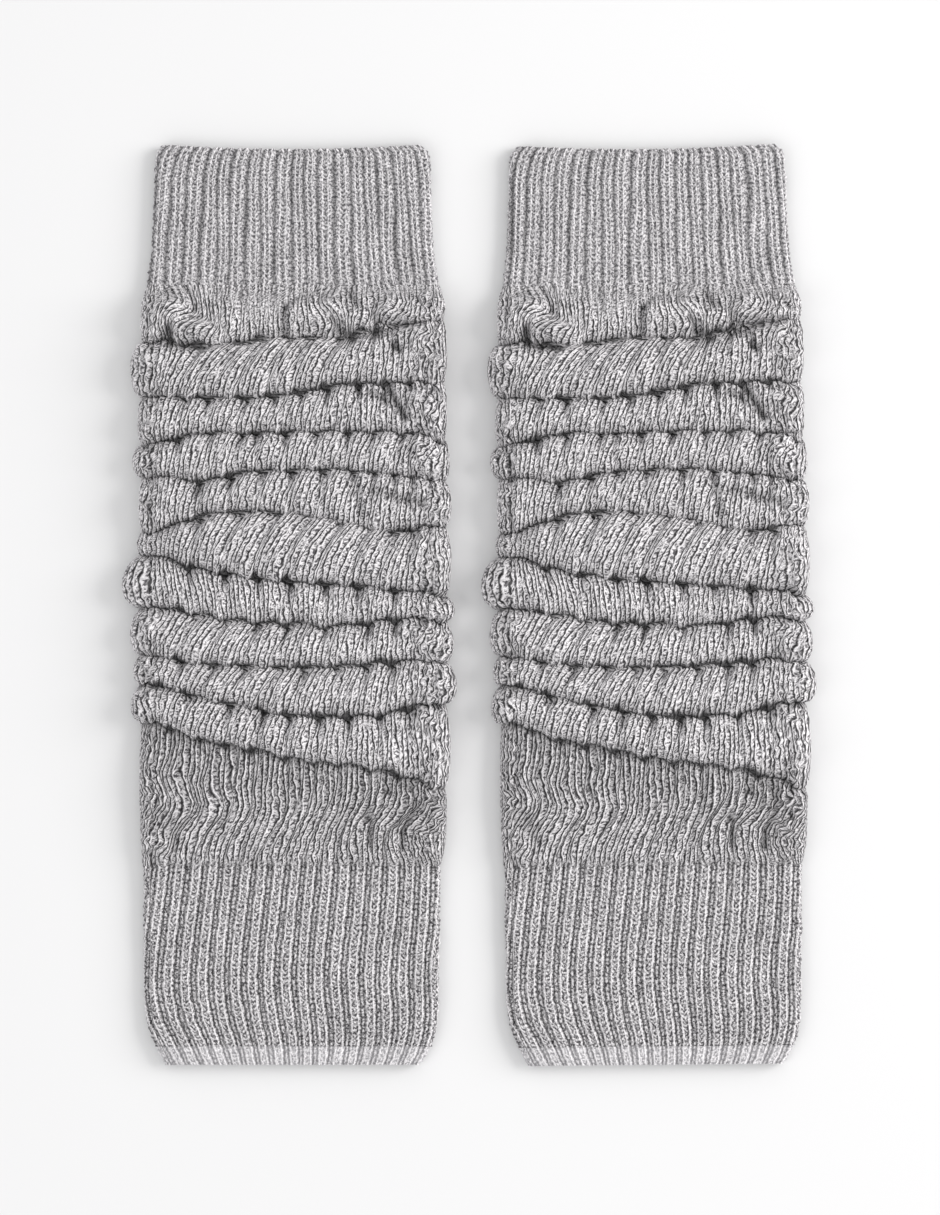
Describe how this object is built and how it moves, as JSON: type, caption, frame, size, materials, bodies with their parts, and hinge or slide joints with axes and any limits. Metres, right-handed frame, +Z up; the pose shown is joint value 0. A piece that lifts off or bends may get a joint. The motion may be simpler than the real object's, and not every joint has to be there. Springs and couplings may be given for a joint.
{
  "type": "pair of slouch leg warmers",
  "caption": "Footless knitted leg warmers with ribbed cuffs and a loose leg pushed down into rolls, laid flat side by side.",
  "frame": {"origin": "on the surface that the pair lies on, under the middle of the pair's box", "axes": "+Z up, away from the surface; +Y towards the upper cuffs, along the legs; +X from the left leg warmer to the right one, as the picture shows them"},
  "size_m": [0.2728, 0.3622, 0.014],
  "materials": {
    "rib_knit": "matt grey marl rib knit, with light and dark flecks",
    "loose_knit": "matt grey marl knit in loose lengthwise cords",
    "welt_knit": "matt pale grey knit"
  },
  "bodies": {
    "root": {"left_upper_cuff": "rib_knit", "left_leg": "loose_knit", "left_lower_cuff": "rib_knit", "left_welt": "welt_knit", "right_upper_cuff": "rib_knit", "right_leg": "loose_knit", "right_lower_cuff": "rib_knit", "right_welt": "welt_knit"}
  },
  "joints": []
}
